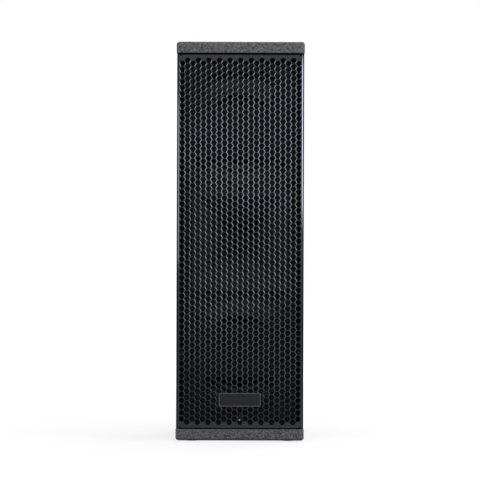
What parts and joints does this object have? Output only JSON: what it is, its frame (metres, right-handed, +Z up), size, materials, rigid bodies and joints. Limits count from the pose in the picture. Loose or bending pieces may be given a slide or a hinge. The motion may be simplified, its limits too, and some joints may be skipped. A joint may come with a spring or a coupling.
{
  "type": "column loudspeaker",
  "caption": "Compact column loudspeaker for speech and music: tapered wooden cabinet, perforated steel grille, two woofers, square horn, rear amplifier.",
  "frame": {"origin": "under the middle of the cabinet, on the surface that its feet stand on", "axes": "+Z up the column, -Y out of the grille, +X to the right seen from the front"},
  "size_m": [0.161, 0.206, 0.501],
  "materials": {
    "cabinet_paint": "textured hard-wearing paint over plywood",
    "baffle_board": "birch plywood stained black",
    "grille_steel": "powder-coated perforated sheet steel",
    "badge_alloy": "anodised badge with a bright rim",
    "led_lens": "clear light pipe",
    "moulded_panel": "fine-textured moulded panel",
    "horn_moulding": "moulded horn",
    "motor_steel": "zinc-plated motor steel",
    "neodymium": "nickel-plated magnet",
    "dome_film": "polyimide film",
    "foot_rubber": "moulded rubber",
    "socket_alloy": "cast aluminium, painted",
    "insert_steel": "zinc-plated threaded insert",
    "amp_paint": "powder-coated aluminium plate",
    "sink_alloy": "black anodised fins",
    "housing_steel": "folded steel",
    "board_laminate": "glass-fibre laminate with solder mask",
    "ferrite": "sintered ferrite",
    "capacitor_sleeve": "shrink-sleeved can",
    "control_moulding": "moulded case",
    "knob_moulding": "soft-touch knob with a pale pointer",
    "socket_moulding": "glass-filled moulding",
    "power_moulding": "glass-filled moulding",
    "latch_steel": "pressed latch",
    "black_screw": "black zinc-plated steel",
    "basket_steel": "painted pressed steel",
    "cone_paper": "coated paper pulp",
    "cap_paper": "coated paper pulp",
    "coil_copper": "copper winding on a film former",
    "surround_rubber": "half-roll rubber surround",
    "spider_cloth": "impregnated corrugated cloth"
  },
  "bodies": {
    "cabinet": {"amp_board": "board_laminate", "amp_housing": "housing_steel", "amp_panel": "amp_paint", "amp_screws": "black_screw", "badge": "badge_alloy", "bottom_plate": "cabinet_paint", "capacitors": "capacitor_sleeve", "control_pots": "control_moulding", "driver_screws": "black_screw", "front_baffle": "baffle_board", "grille": "grille_steel", "grille_frame": "grille_steel", "grille_screws": "black_screw", "heat_sink": "sink_alloy", "horn": "horn_moulding", "left_side_wall": "cabinet_paint", "left_taper_wall": "cabinet_paint", "loading_panel_screws": "black_screw", "lower_basket": "basket_steel", "lower_loading_panel": "moulded_panel", "lower_magnet": "ferrite", "lower_top_plate": "motor_steel", "lower_yoke": "motor_steel", "pole_socket": "socket_alloy", "power_inlet": "power_moulding", "power_link": "power_moulding", "rear_baffle": "baffle_board", "rigging_inserts": "insert_steel", "right_side_wall": "cabinet_paint", "right_taper_wall": "cabinet_paint", "rubber_feet": "foot_rubber", "signal_input": "socket_moulding", "signal_link": "socket_moulding", "socket_screws": "black_screw", "status_led": "led_lens", "top_plate": "cabinet_paint", "transformer": "ferrite", "tweeter_magnet": "neodymium", "tweeter_pole": "motor_steel", "tweeter_rear_cover": "moulded_panel", "tweeter_top_plate": "motor_steel", "upper_basket": "basket_steel", "upper_loading_panel": "moulded_panel", "upper_magnet": "ferrite", "upper_top_plate": "motor_steel", "upper_yoke": "motor_steel"},
    "upper_cone": {"upper_cone": "cone_paper", "upper_dust_cap": "cap_paper", "upper_voice_coil": "coil_copper", "upper_surround": "surround_rubber", "upper_spider": "spider_cloth"},
    "lower_cone": {"lower_cone": "cone_paper", "lower_dust_cap": "cap_paper", "lower_voice_coil": "coil_copper", "lower_surround": "surround_rubber", "lower_spider": "spider_cloth"},
    "diaphragm": {"tweeter_diaphragm": "dome_film"},
    "level_knob": {"level_knob": "knob_moulding"},
    "preset_knob": {"preset_knob": "knob_moulding"},
    "signal_latch": {"signal_latch": "latch_steel"}
  },
  "joints": [
    {"name": "upper_cone_travel", "type": "slide", "parent": "cabinet", "child": "upper_cone", "axis": [0, -1, 0], "range_m": [-0.004, 0.004], "stiffness_N_per_m": 1400, "deforming": ["upper_surround", "upper_spider"]},
    {"name": "lower_cone_travel", "type": "slide", "parent": "cabinet", "child": "lower_cone", "axis": [0, -1, 0], "range_m": [-0.004, 0.004], "stiffness_N_per_m": 1400, "deforming": ["lower_surround", "lower_spider"]},
    {"name": "diaphragm_travel", "type": "slide", "parent": "cabinet", "child": "diaphragm", "axis": [0, -1, 0], "range_m": [-0.0003, 0.0003], "stiffness_N_per_m": 9000},
    {"name": "level_turn", "type": "hinge", "parent": "cabinet", "child": "level_knob", "pos_m": [-0.021, 0.098, 0.209], "axis": [0, -1, 0], "range_deg": [-150, 150]},
    {"name": "preset_turn", "type": "hinge", "parent": "cabinet", "child": "preset_knob", "pos_m": [0.021, 0.098, 0.209], "axis": [0, -1, 0], "range_deg": [-150, 150]},
    {"name": "latch_press", "type": "slide", "parent": "cabinet", "child": "signal_latch", "axis": [0, -1, 0], "range_m": [0, 0.002], "stiffness_N_per_m": 400}
  ]
}
